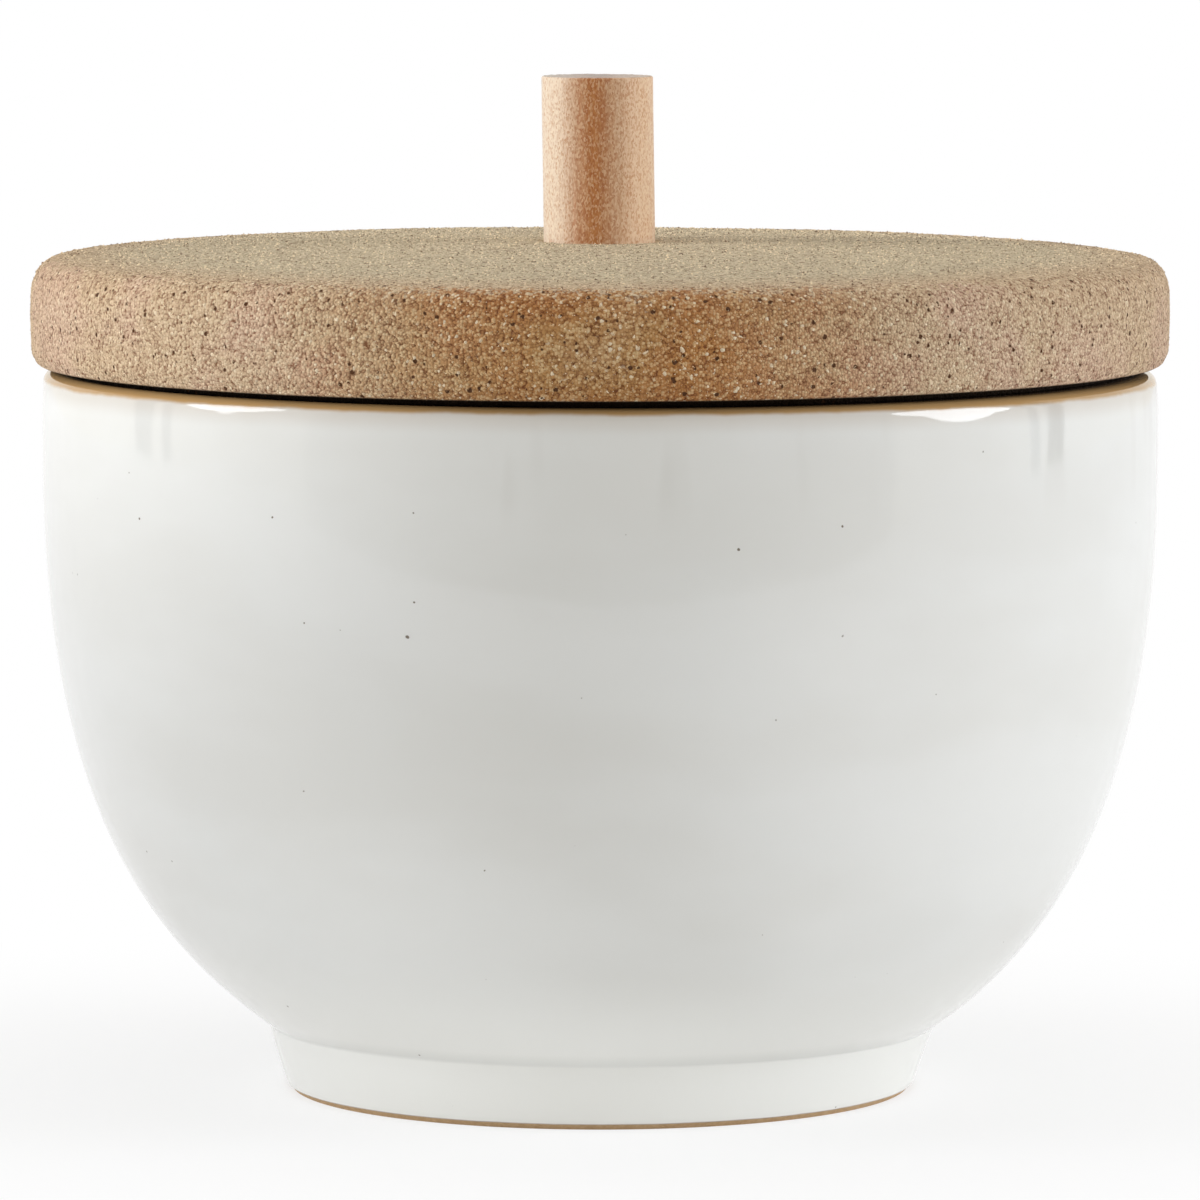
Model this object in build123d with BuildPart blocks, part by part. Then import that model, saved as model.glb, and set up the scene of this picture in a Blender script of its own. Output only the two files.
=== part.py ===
"""Lidded stoneware box: a glazed bowl on a foot ring, a bare clay lid that drops into its mouth,
and a round wooden knob held from below by one screw with a soft washer under its head.

Every piece is built where it belongs. The foot stands on z = 0 and Z is the axis of the box.
"""
from build123d import *
from math import asin, cos, degrees, radians, sin, tan
import os

# Driving sizes, in millimetres and degrees

# Bowl
bowl_diameter = 99.2        # outside, where the wall is widest
seat_height = 64.15         # from the table to the flat on the lip that carries the lid
belly_drop = 8.45           # how far below the seat the wall is widest
belly_upper_reach = 31.0    # pull of the curve below its widest place: longer keeps it upright
belly_lower_reach = 12.2    # pull of the curve above the foot
belly_angle = 35.2          # slope of the belly where it meets the foot
wall = 3.8                  # thickness at the mouth
foot_wall = 5.0             # thickness where the belly meets the foot
floor_thickness = 5.0       # thickness at the middle of the floor
lip_land = 0.6              # width of the flat on the lip that carries the lid
lip_inner_round = 1.0
lip_outer_round = 1.1
lip_fall = 0.15             # how far the lip slopes down from its flat to its outer edge
foot_diameter = 59.6        # top of the foot, where the belly meets it
foot_height = 5.8
foot_draft = 18.0           # lean of the foot wall, inwards on the way down
foot_bevel_width = 0.5      # wiped edge round the bottom of the foot
foot_bevel_height = 0.5
foot_ring_width = 5.8       # flat that rests on the table
foot_recess = 2.5           # hollow inside the foot ring
foot_neck_round = 1.2

# Lid
lid_overhang = 1.15         # beyond the widest place of the bowl, all round
lid_edge_height = 9.35
lid_edge_bulge = 0.15       # how far the side swells at half its height
lid_crown = 1.45            # rise of the top from its edge to the middle
lid_upper_round = 3.0
lid_lower_round = 1.4
lid_rim_gap = 0.55          # how far the rim of the lid stays above the lip of the bowl
lid_seat_width = 2.8        # step beside the locating ring that rests on the lip
lid_centre_thickness = 6.5
ring_clearance = 1.2        # between the locating ring and the mouth of the bowl, all round
ring_width = 5.0
ring_depth = 4.5            # how far the ring reaches below the seat
ring_round = 1.2
hollow_round = 2.0

# Knob
knob_diameter = 10.0
knob_height = 14.7          # what stands above the lid
knob_edge = 0.25            # broken edge of the sawn ends
socket_depth = 3.0          # how far the knob is let into the lid
socket_clearance = 0.15     # all round the knob in its socket

# Screw
screw_diameter = 3.5
screw_core_diameter = 2.4
screw_length = 16.0         # from under the head to the point
screw_pitch = 1.6
screw_point = 2.6           # length of the tapered point
screw_hole_clearance = 0.5  # all round the screw in the lid
head_diameter = 7.0
head_height = 2.4
drive_width = 3.8           # cross recess, tip to tip
drive_slot = 0.9
drive_depth = 1.4

# Washer
washer_diameter = 11.0
washer_thickness = 1.0
washer_clearance = 0.25     # all round the screw in the washer
washer_edge = 0.15

# Levels and radii that follow from them

bowl_radius = bowl_diameter / 2
belly_level = seat_height - belly_drop
mouth_radius = bowl_radius - wall
foot_radius = foot_diameter / 2
foot_low_radius = foot_radius - (foot_height - foot_bevel_height) * tan(radians(foot_draft))
rest_radius = foot_low_radius - foot_bevel_width
recess_radius = rest_radius - foot_ring_width
floor_level = foot_recess + floor_thickness
land_radius = mouth_radius + lip_inner_round + lip_land
lip_edge_level = seat_height - lip_fall

lid_radius = bowl_radius + lid_overhang
lid_rim_level = seat_height + lid_rim_gap
lid_edge_level = lid_rim_level + lid_edge_height
lid_top = lid_edge_level + lid_crown
lid_ceiling = lid_top - lid_centre_thickness
ring_radius = mouth_radius - ring_clearance
ring_inner_radius = ring_radius - ring_width
lid_seat_radius = ring_radius + lid_seat_width
ring_end = seat_height - ring_depth

socket_floor = lid_top - socket_depth
head_seat = lid_ceiling - washer_thickness
point_level = head_seat + screw_length
pilot_depth = point_level - socket_floor + 0.5


def corner(sketch, radius, level):
    """The vertex of a profile that lies nearest to a radius and a level."""
    return sketch.vertices().sort_by_distance((radius, level, 0))[0]


# Bowl: one profile turned round Z, with its foot ring, belly, lip, mouth and floor

along_belly = (cos(radians(belly_angle)), sin(radians(belly_angle)))
outer_handle = (
    foot_radius + belly_lower_reach * along_belly[0],
    foot_height + belly_lower_reach * along_belly[1],
)
inner_end = (
    foot_radius - foot_wall * along_belly[1],
    foot_height + foot_wall * along_belly[0],
)
inner_handle = (
    inner_end[0] + belly_lower_reach * along_belly[0],
    inner_end[1] + belly_lower_reach * along_belly[1],
)
floor_turn = inner_end[0] - (inner_end[1] - floor_level) / tan(radians(belly_angle))
floor_radius = 2 * floor_turn - inner_end[0]

with BuildPart() as bowl:
    with BuildSketch(Plane.XZ) as bowl_profile:
        with BuildLine():
            Polyline(
                (0, foot_recess),
                (recess_radius, foot_recess),
                (recess_radius, 0),
                (rest_radius, 0),
                (foot_low_radius, foot_bevel_height),
                (foot_radius, foot_height),
            )
            Bezier(
                (foot_radius, foot_height),
                outer_handle,
                (bowl_radius, belly_level - belly_upper_reach),
                (bowl_radius, belly_level),
            )
            Polyline(
                (bowl_radius, belly_level),
                (bowl_radius, lip_edge_level),
                (land_radius, seat_height),
                (mouth_radius, seat_height),
                (mouth_radius, belly_level),
            )
            Bezier(
                (mouth_radius, belly_level),
                (mouth_radius, belly_level - belly_upper_reach),
                inner_handle,
                inner_end,
            )
            Bezier(inner_end, (floor_turn, floor_level), (floor_radius, floor_level))
            Polyline((floor_radius, floor_level), (0, floor_level), (0, foot_recess))
        make_face()
        fillet(corner(bowl_profile, bowl_radius, lip_edge_level), lip_outer_round)
        fillet(corner(bowl_profile, mouth_radius, seat_height), lip_inner_round)
        fillet(corner(bowl_profile, foot_radius, foot_height), foot_neck_round)
        fillet(corner(bowl_profile, foot_low_radius, foot_bevel_height), 0.5 * foot_bevel_height)
        fillet(corner(bowl_profile, recess_radius, foot_recess), 0.4 * foot_recess)
        fillet(corner(bowl_profile, recess_radius, 0), 0.3 * foot_recess)
    revolve(axis=Axis.Z)
bowl.part.label = "bowl"

# Lid: a crowned disc with a locating ring and a hollow underneath, bored for knob and screw

crown_edge = lid_radius - lid_edge_bulge
crown_radius = (crown_edge**2 + lid_crown**2) / (2 * lid_crown)

with BuildPart() as lid:
    with BuildSketch(Plane.XZ) as lid_profile:
        with BuildLine():
            Polyline(
                (0, lid_top),
                (0, lid_ceiling),
                (ring_inner_radius, lid_ceiling),
                (ring_inner_radius, ring_end),
                (ring_radius, ring_end),
                (ring_radius, seat_height),
                (lid_seat_radius, seat_height),
                (lid_seat_radius, lid_rim_level),
                (crown_edge, lid_rim_level),
            )
            ThreePointArc(
                (crown_edge, lid_rim_level),
                (lid_radius, lid_rim_level + lid_edge_height / 2),
                (crown_edge, lid_edge_level),
            )
            CenterArc(
                (0, lid_top - crown_radius),
                crown_radius,
                start_angle=90,
                arc_size=-degrees(asin(crown_edge / crown_radius)),
            )
        make_face()
        fillet(corner(lid_profile, crown_edge, lid_edge_level), lid_upper_round)
        fillet(corner(lid_profile, crown_edge, lid_rim_level), lid_lower_round)
        fillet(corner(lid_profile, lid_seat_radius, lid_rim_level), 0.4 * lid_rim_gap)
        fillet(corner(lid_profile, lid_seat_radius, seat_height), 0.4 * lid_rim_gap)
        fillet(corner(lid_profile, ring_radius, ring_end), ring_round)
        fillet(corner(lid_profile, ring_inner_radius, ring_end), ring_round)
        fillet(corner(lid_profile, ring_radius, seat_height), 0.5 * ring_clearance)
        fillet(corner(lid_profile, ring_inner_radius, lid_ceiling), hollow_round)
    revolve(axis=Axis.Z)
    with Locations((0, 0, lid_top)):
        CounterBoreHole(
            radius=screw_diameter / 2 + screw_hole_clearance,
            counter_bore_radius=knob_diameter / 2 + socket_clearance,
            counter_bore_depth=socket_depth,
        )
lid.part.label = "lid"

# Knob: a length of round wooden rod, bored from below for the screw

with BuildPart() as knob:
    with BuildSketch(Plane.XY.offset(socket_floor)):
        Circle(knob_diameter / 2)
    extrude(amount=socket_depth + knob_height)
    chamfer(knob.edges().filter_by(GeomType.CIRCLE), knob_edge)
    with Locations(Location((0, 0, socket_floor), (180, 0, 0))):
        Hole(radius=screw_core_diameter / 2, depth=pilot_depth)
knob.part.label = "knob"

# Screw: head, core and point turned round Z, with a thread wound on the core and a cross recess

core_radius = screw_core_diameter / 2
thread_rise = screw_diameter / 2 - core_radius
thread_foot = 0.42 * screw_pitch
thread_start = head_seat + 0.75 * screw_pitch
thread_end = point_level - screw_point - 0.25 * screw_pitch

with BuildPart() as knob_screw:
    with BuildSketch(Plane.XZ) as screw_profile:
        with BuildLine():
            Polyline(
                (0, head_seat - head_height),
                (head_diameter / 2, head_seat - head_height),
                (head_diameter / 2, head_seat),
                (core_radius, head_seat),
                (core_radius, point_level - screw_point),
                (0, point_level),
                close=True,
            )
        make_face()
        fillet(corner(screw_profile, head_diameter / 2, head_seat - head_height), 0.6 * head_height)
    revolve(axis=Axis.Z)
    with BuildSketch(Plane.XY.offset(head_seat - head_height)):
        Rectangle(drive_width, drive_slot)
        Rectangle(drive_slot, drive_width)
    extrude(amount=drive_depth, mode=Mode.SUBTRACT)
    with BuildLine() as thread_path:
        Helix(screw_pitch, thread_end - thread_start, core_radius, center=(0, 0, thread_start))
    with BuildSketch(Plane(thread_path.line @ 0, x_dir=(1, 0, 0), z_dir=thread_path.line % 0)):
        with BuildLine():
            Polyline(
                (-0.2, -thread_foot / 2),
                (thread_rise, 0),
                (-0.2, thread_foot / 2),
                close=True,
            )
        make_face()
    sweep(path=thread_path.line, is_frenet=True)
knob_screw.part.label = "knob_screw"

# Washer: a soft ring between the head of the screw and the lid

with BuildPart() as screw_washer:
    with BuildSketch(Plane.XY.offset(head_seat)):
        Circle(washer_diameter / 2)
        Circle(screw_diameter / 2 + washer_clearance, mode=Mode.SUBTRACT)
    extrude(amount=washer_thickness)
    chamfer(screw_washer.edges().filter_by(GeomType.CIRCLE), washer_edge)
screw_washer.part.label = "screw_washer"

os.makedirs("parts", exist_ok=True)
for piece in (bowl, lid, knob, knob_screw, screw_washer):
    export_step(piece.part, f"parts/{piece.part.label}.step")
    size = piece.part.bounding_box().size
    print(f"{piece.part.label}: {size.X:.2f} x {size.Y:.2f} x {size.Z:.2f} mm, valid {piece.part.is_valid}")
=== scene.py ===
# %% [markdown]
# # A small lidded stoneware box
# The real thing is a round bowl with a glossy off-white glaze, a thick lid of bare sandy clay and a
# wooden rod for a knob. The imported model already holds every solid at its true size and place, in metres
# with Z up. This lesson dresses it: denser surfaces where the potter's hand or the grain of the material
# shows, and a procedural finish on everything.

import bpy
import numpy as np
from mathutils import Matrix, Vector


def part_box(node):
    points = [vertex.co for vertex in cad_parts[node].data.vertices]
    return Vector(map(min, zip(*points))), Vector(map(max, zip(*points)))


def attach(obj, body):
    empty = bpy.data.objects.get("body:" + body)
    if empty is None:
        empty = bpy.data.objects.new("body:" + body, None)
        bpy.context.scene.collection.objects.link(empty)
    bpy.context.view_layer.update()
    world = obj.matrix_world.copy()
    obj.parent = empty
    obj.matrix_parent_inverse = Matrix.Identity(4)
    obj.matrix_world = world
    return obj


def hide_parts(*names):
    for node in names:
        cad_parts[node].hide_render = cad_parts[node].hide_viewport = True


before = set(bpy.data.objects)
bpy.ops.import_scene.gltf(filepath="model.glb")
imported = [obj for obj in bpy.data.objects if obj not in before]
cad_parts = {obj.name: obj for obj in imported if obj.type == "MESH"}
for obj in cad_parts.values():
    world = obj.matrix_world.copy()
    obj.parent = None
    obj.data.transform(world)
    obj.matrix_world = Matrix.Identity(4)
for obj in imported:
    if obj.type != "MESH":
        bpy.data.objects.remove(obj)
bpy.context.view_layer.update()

MM = 0.001

# %% [markdown]
# ## The camera
# The box is seen from a little above, through a long lens, so its sides hardly converge. The distance,
# height and tilt below are those at which the circles of lid, mouth and foot flatten as they do in the
# real view. Setting the tilt as a rotation about X keeps the upright lines upright.

# %% Place the camera
CAMERA_DISTANCE = 801.7
CAMERA_HEIGHT = 119.2
CAMERA_TILT = 0.0942  # radians
LENS = 271.0

camera_data = bpy.data.cameras.new("camera")
camera_data.lens = LENS
camera_data.sensor_width = 36.0
camera_data.clip_end = 50.0
camera = bpy.data.objects.new("camera", camera_data)
camera.location = (0.0, -CAMERA_DISTANCE * MM, CAMERA_HEIGHT * MM)
camera.rotation_euler = (np.pi / 2 - CAMERA_TILT, 0.0, 0.0)
bpy.context.scene.collection.objects.link(camera)
bpy.context.scene.camera = camera
print("camera tilted", round(np.degrees(CAMERA_TILT), 2), "degrees down")

# %% [markdown]
# ## Drawing a profile
# Bowl, lid and knob are all turned shapes, so each is one profile of radius and height carried round Z.
# A profile is listed as corners, each with the radius of its rounding, and always runs with the clay on
# its left: outwards below, up the outside and back in at the top. A rounded corner is a circular arc, and
# a circular arc is exactly a quadratic Bezier whose middle point is weighted by the cosine of half the
# turn, so all corners of a profile can be rounded in one array expression.


# %% Profile helpers
def soften(corners, steps=8):
    """Rounds a profile of rows (r, z, rounding). Each corner becomes the arc tangent to both neighbours:
    a quadratic Bezier between the tangent points, with weight cos(turn / 2) on the corner itself."""
    points, rounding = corners[:, :2], corners[:, 2]
    before = points - np.roll(points, 1, axis=0)
    after = np.roll(before, -1, axis=0)
    before = before / np.linalg.norm(before, axis=1, keepdims=True)
    after = after / np.linalg.norm(after, axis=1, keepdims=True)
    half_turn = 0.5 * np.arccos(np.clip((before * after).sum(axis=1), -1, 1))
    reach = (rounding * np.tan(half_turn))[:, None]
    start, end = points - reach * before, points + reach * after
    s = np.linspace(0, 1, steps)[None, :, None]
    weight = np.cos(half_turn)[:, None, None]
    a, b, c = (1 - s) ** 2, 2 * s * (1 - s) * weight, s**2
    arcs = (a * start[:, None] + b * points[:, None] + c * end[:, None]) / (a + b + c)
    flat = arcs.reshape(-1, 2)
    apart = np.linalg.norm(flat - np.roll(flat, 1, axis=0), axis=1) > 1e-5
    return flat[apart]


def fill(points, spacing):
    """Cuts every segment of a profile into equal parts no longer than its spacing."""
    step = np.diff(points, axis=0)
    parts = np.ceil(np.linalg.norm(step, axis=1) / spacing).astype(int)
    nth = np.arange(parts.sum()) - np.repeat(np.cumsum(parts) - parts, parts)
    share = (nth / np.repeat(parts, parts))[:, None]
    cut = np.repeat(points[:-1], parts, axis=0) + share * np.repeat(step, parts, axis=0)
    return np.vstack([cut, points[-1:]])


def pull(a, b, c, d, steps):
    """Cubic Bezier from a to d, pulled towards b and c, as profile rows with no rounding."""
    t = np.linspace(0, 1, steps)[:, None]
    a, b, c, d = (np.array(p, float) for p in (a, b, c, d))
    curve = (1 - t) ** 3 * a + 3 * (1 - t) ** 2 * t * b + 3 * (1 - t) * t**2 * c + t**3 * d
    return np.column_stack([curve, np.zeros(steps)])


sample_arc = soften(np.array([[0, 0, 0], [10, 0, 2], [10, 10, 0.0]]))
print("a corner rounded by 2 starts at", np.round(sample_arc[1], 3), "and has", len(sample_arc), "points")

# %% [markdown]
# ## Carrying a profile round, and the hand of the maker
# A grid of points has one row per profile point and one column per turn. Fired clay is never a perfect
# turned shape, so the points are moved along the surface's normal by smooth noise. Sine waves in random
# directions, added up, give noise that is smooth everywhere and closes on itself round the axis,
# because it depends only on the point in space.


# %% Surface helpers
def carry_round(profile, columns):
    """Point (i, j) is (r cos t, r sin t, z): radius and height of row i at the turn t of column j."""
    turn = np.linspace(0, 2 * np.pi, columns, endpoint=False)
    radius, height = profile[:, 0, None], profile[:, 1, None]
    return np.stack([radius * np.cos(turn), radius * np.sin(turn), height + 0 * turn], axis=-1)


def outward(profile, columns, closed):
    """Unit normals of the grid: the profile's direction turned a quarter to the right, carried round."""
    along = np.roll(profile, -1, axis=0) - np.roll(profile, 1, axis=0)
    if not closed:
        along[[0, -1]] = profile[1] - profile[0], profile[-1] - profile[-2]
    along = along / np.linalg.norm(along, axis=1, keepdims=True)
    return carry_round(np.column_stack([along[:, 1], -along[:, 0]]), columns)


def ripple(points, width, seed, waves=24):
    """Smooth noise of about plus or minus 1: sine waves of about the given width in mm, with random
    directions and phases, added up."""
    rng = np.random.default_rng(seed)
    way = rng.normal(size=(waves, 3))
    way /= np.linalg.norm(way, axis=1, keepdims=True)
    number = 2 * np.pi * way / (width * rng.uniform(0.7, 1.5, (waves, 1)))
    phase = rng.uniform(0, 2 * np.pi, waves)
    return np.sin(points @ number.T + phase).sum(axis=-1) * np.sqrt(2 / waves)


def ease(value, low, high):
    """0 below low, 1 above high and a smooth step between."""
    t = np.clip((value - low) / (high - low), 0, 1)
    return t * t * (3 - 2 * t)


sample_noise = ripple(carry_round(np.array([[20.0, 0.0], [20.0, 50.0]]), 90), 6.0, seed=1)
print("smooth noise on two rings runs from", np.round([sample_noise.min(), sample_noise.max()], 2))

# %% [markdown]
# A grid becomes a mesh of quads whose last column joins the first. A profile that is a closed loop also
# joins its last row to its first. One that starts and ends on the axis has a single point at each pole,
# with a fan of triangles round it. Because every profile runs the same way, all faces look outwards, and
# the enclosed volume, which is printed, comes out positive.


# %% From grid to mesh
def add_mesh(name, points, faces):
    """Makes a mesh object from points in mm and faces that look outwards. Its volume, printed in cubic cm,
    is a sixth of the sum of a . (b x c) over its triangles."""
    mesh = bpy.data.meshes.new(name)
    mesh.from_pydata(points * MM, [], faces)
    piece = bpy.data.objects.new(name, mesh)
    bpy.context.scene.collection.objects.link(piece)
    mesh.calc_loop_triangles()
    triangles = np.empty(3 * len(mesh.loop_triangles), int)
    mesh.loop_triangles.foreach_get("vertices", triangles)
    a, b, c = points[triangles.reshape(-1, 3)].transpose(1, 0, 2)
    volume = (a * np.cross(b, c)).sum() / 6 / 1000
    print(name, len(points), "points,", len(a), "triangles,", round(volume, 2), "cubic cm")
    return piece


def add_turned(name, grid, closed):
    """Smooth mesh of a grid in mm: quads between neighbours, and fans of triangles at the poles."""
    rows = grid if closed else grid[1:-1]
    number = np.arange(rows[..., 0].size).reshape(rows.shape[:2])
    lower, upper = (number, np.roll(number, -1, axis=0)) if closed else (number[:-1], number[1:])
    quads = np.stack([lower, np.roll(lower, -1, axis=1), np.roll(upper, -1, axis=1), upper], axis=-1)
    points = rows.reshape(-1, 3)
    faces = quads.reshape(-1, 4).tolist()
    if not closed:
        points = np.vstack([points, grid[0, :1], grid[-1, :1]])
        pole = np.full(grid.shape[1], number.size)
        faces += np.column_stack([pole, np.roll(number[0], -1), number[0]]).tolist()
        faces += np.column_stack([pole + 1, number[-1], np.roll(number[-1], -1)]).tolist()
    piece = add_mesh(name, points, faces)
    piece.data.shade_smooth()
    return piece


# %% [markdown]
# ## The bowl
# The bowl is one fired piece: a foot ring, a belly that swells to nearly upright walls, a lip with a
# narrow flat for the lid that falls away outwards, and a hollow with a soft floor. Glaze covers it inside
# and out. At the foot it was wiped away, so the coat ends in a low step just above the table, and the
# bare clay below is set back by the thickness of the coat.

# %% Sizes of the bowl
bowl_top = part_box("bowl")[1] / MM
SEAT = bowl_top.z  # the flat on the lip that carries the lid
BOWL_RADIUS = bowl_top.x
WALL = 3.8  # at the mouth
FOOT_WALL = 5.0  # where the belly meets the foot
FLOOR = 7.5
BELLY_DROP = 8.45  # from the seat to where the wall is widest
UPPER_REACH = 31.0  # pull of the curve below that place
LOWER_REACH = 12.2  # pull of the curve above the foot
BELLY_SLOPE = np.radians(35.2)
FOOT_RADIUS = 29.8  # where the belly meets the foot
FOOT_HEIGHT = 5.8
NECK_ROUND = 0.5
RECESS_RADIUS = 21.78
RECESS_DEPTH = 2.5
REST_RADIUS = 27.5  # what touches the table
CLAY_RADIUS = 27.86  # the bare clay just below the coat
COAT_RADIUS = 28.04  # the lower edge of the coat
COAT_STEP = 0.08
GLAZE_END = 0.5
BEAD_RADIUS = 28.21  # where the thick end of the coat runs out into the foot
BEAD_LEVEL = 0.93
LIP_LAND = 0.6
LIP_INNER = 1.0
LIP_OUTER = 1.1
LIP_FALL = 0.06
print("bowl", round(2 * BOWL_RADIUS, 1), "mm wide and", round(SEAT, 2), "mm high")

# %% Profile of the bowl
BOWL_SPACING = 2.0
BELLY = SEAT - BELLY_DROP
mouth_radius = BOWL_RADIUS - WALL
land_radius = mouth_radius + LIP_INNER + LIP_LAND
along_belly = np.array([np.cos(BELLY_SLOPE), np.sin(BELLY_SLOPE)])
foot_top = np.array([FOOT_RADIUS, FOOT_HEIGHT])
inner_end = foot_top + FOOT_WALL * np.array([-along_belly[1], along_belly[0]])
floor_turn = inner_end[0] - (inner_end[1] - FLOOR) / np.tan(BELLY_SLOPE)
floor_end = 2 * floor_turn - inner_end[0]

under_foot = np.array([
    [0, RECESS_DEPTH, 0],
    [RECESS_RADIUS, RECESS_DEPTH, 1.0],
    [RECESS_RADIUS, 0, 0.75],
    [REST_RADIUS, 0, 0.12],
    [CLAY_RADIUS, GLAZE_END - COAT_STEP, 0.04],
    [COAT_RADIUS, GLAZE_END, 0.06],
    [BEAD_RADIUS, BEAD_LEVEL, 0.3],
])
outside = pull(
    foot_top, foot_top + LOWER_REACH * along_belly,
    (BOWL_RADIUS, BELLY - UPPER_REACH), (BOWL_RADIUS, BELLY), steps=36,
)
outside[0, 2] = NECK_ROUND
lip = np.array([
    [BOWL_RADIUS, SEAT - LIP_FALL, LIP_OUTER],
    [land_radius, SEAT, 0.4],
    [mouth_radius, SEAT, LIP_INNER],
])
inside = pull(
    (mouth_radius, BELLY), (mouth_radius, BELLY - UPPER_REACH),
    inner_end + LOWER_REACH * along_belly, inner_end, steps=22,
)
well = pull(inner_end, (floor_turn, FLOOR), (floor_turn, FLOOR), (floor_end, FLOOR), steps=6)[1:]
bowl_corners = np.vstack([under_foot, outside, lip, inside, well, [[0, FLOOR, 0]]])
bowl_profile = fill(soften(bowl_corners), BOWL_SPACING)
print("bowl profile of", len(bowl_profile), "points, mouth", round(2 * mouth_radius, 1), "mm wide")

# %% [markdown]
# Three things move the glazed wall off the perfect curve: a slow wobble from drying and firing, faint
# throwing rings that change only with height, and runs of thicker glaze that hang below the lip. All are
# shallow, because a mirror shows a slope of a hundredth, and all fade out at the lip and the foot, where
# the lid and the table need true surfaces. Outside the lip's flat the glaze rolls over in a long soft
# curve that catches the lamps, and it falls a little further on one side than on the other, as a
# hand-finished lip does: the dark gap under the lid widens there.

# %% The bowl's surface
BOWL_COLUMNS = 480
WOBBLE, WOBBLE_WIDTH = 0.10, 70.0
RING_RISE, RING_WIDTH = 0.006, 6.0
RUN_RISE, RUN_WIDTH = 0.010, 7.0
LIP_TILT = 0.15
LIP_ROLL = 0.15
ROLL_HEIGHT = 1.6
bowl_grid = carry_round(bowl_profile, BOWL_COLUMNS)
height = bowl_grid[..., 2]
radius = np.hypot(bowl_grid[..., 0], bowl_grid[..., 1])
fade = ease(height, 1.0, 9.0) * (1 - ease(height, SEAT - 3.5, SEAT - 1.8))
wobble = WOBBLE * ripple(bowl_grid, WOBBLE_WIDTH, seed=3)
rings = RING_RISE * ripple(bowl_grid * [0.03, 0.03, 1.0], RING_WIDTH, seed=5)
below_lip = ease(height, SEAT - 14.0, SEAT - 4.0)
runs = RUN_RISE * below_lip * ripple(bowl_grid * [1.0, 1.0, 0.12], RUN_WIDTH, seed=8)
move = fade * (wobble + rings + runs)
bowl_grid += move[..., None] * outward(bowl_profile, BOWL_COLUMNS, closed=False)
past_land = ease(radius, land_radius + 0.2, land_radius + 1.0)
outer_slope = past_land * ease(height, SEAT - 4.0, SEAT - 1.4)
bowl_grid[..., 2] -= outer_slope * LIP_TILT * bowl_grid[..., 0] / BOWL_RADIUS
roll = LIP_ROLL * np.clip((height - SEAT + LIP_OUTER) / ROLL_HEIGHT + 1, 0, 1) ** 2
bowl_grid[..., :2] *= 1 - (past_land * roll / np.maximum(radius, 1.0))[..., None]
bowl = add_turned("bowl_glazed", bowl_grid, closed=False)
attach(bowl, "bowl")
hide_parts("bowl")
print("glaze moved by", np.round([move.min(), move.max()], 3), "mm")

# %% [markdown]
# ## The lid
# The lid is a thick disc of coarse clay with a slightly crowned top, well rounded edges, a ring that
# drops into the mouth of the bowl and a hollow inside the ring. It is bored through for the screw, with a
# shallow socket on top for the knob, so its profile is a closed loop that never touches the axis. Rows
# lie close together on the side, which is seen from nearest, and far apart underneath.

# %% Sizes of the lid
lid_low, lid_high = (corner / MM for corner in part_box("lid"))
knob_low, knob_high = (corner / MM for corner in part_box("knob"))
LID_RADIUS = lid_high.x
EDGE_BULGE = 0.15  # how far the side swells at half its height
RIM_GAP = 0.55  # between the rim of the lid and the lip of the bowl
EDGE_HEIGHT = 9.35
CROWN = 1.45  # rise of the top from its edge to the middle
CENTRE_THICKNESS = 6.5
RING_CLEARANCE = 1.2  # all round the locating ring in the mouth
LOCATING_RING = 5.0
SEAT_WIDTH = 2.8  # the step beside the ring that rests on the lip
HOLE_RADIUS = 2.25
SOCKET_CLEARANCE = 0.15
SOCKET_FLOOR = knob_low.z
UPPER_ROUND = 3.0
LOWER_ROUND = 1.4
RING_ROUND = 1.2
HOLLOW_ROUND = 2.0
STEP_ROUND = 0.2
print("lid", round(2 * LID_RADIUS, 1), "mm wide, from", round(lid_low.z, 2), "to", round(lid_high.z, 2))

# %% Profile of the lid
SPACING_BELOW, SPACING_ON_SIDE, SPACING_ON_TOP = 3.0, 0.4, 1.0
SIDE_ZONE = 4.0  # width of the zone at the edge that holds the upper rounding
LID_EDGE = LID_RADIUS - EDGE_BULGE
RIM = SEAT + RIM_GAP
RING_OUTER = mouth_radius - RING_CLEARANCE
RING_INNER = RING_OUTER - LOCATING_RING
SEAT_EDGE = RING_OUTER + SEAT_WIDTH
SOCKET_RADIUS = knob_high.x + SOCKET_CLEARANCE
lid_top = RIM + EDGE_HEIGHT + CROWN
ceiling = lid_top - CENTRE_THICKNESS
sphere = (LID_EDGE**2 + CROWN**2) / (2 * CROWN)

below = np.array([
    [HOLE_RADIUS, SOCKET_FLOOR, 0],
    [HOLE_RADIUS, ceiling, 0.3],
    [RING_INNER, ceiling, HOLLOW_ROUND],
    [RING_INNER, lid_low.z, RING_ROUND],
    [RING_OUTER, lid_low.z, RING_ROUND],
    [RING_OUTER, SEAT, RING_ROUND / 2],
    [SEAT_EDGE, SEAT, STEP_ROUND],
    [SEAT_EDGE, RIM, STEP_ROUND],
    [LID_EDGE, RIM, LOWER_ROUND],
    [LID_RADIUS, RIM + EDGE_HEIGHT / 2, 40.0],
])
crown_r = np.append(LID_EDGE, np.linspace(LID_EDGE - SIDE_ZONE, SOCKET_RADIUS, 22))
crown_z = lid_top - sphere + np.sqrt(sphere**2 - crown_r**2)
crown = np.column_stack([crown_r, crown_z, 0 * crown_r])
crown[[0, -1], 2] = UPPER_ROUND, 0.35
loop = soften(np.vstack([below, crown, [[SOCKET_RADIUS, SOCKET_FLOOR, 0]]]), steps=6)
middle = (loop[1:] + loop[:-1]) / 2
underneath = (middle[:, 1] < RIM + 0.05) | (middle[:, 0] < SOCKET_RADIUS + 0.1)
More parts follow.
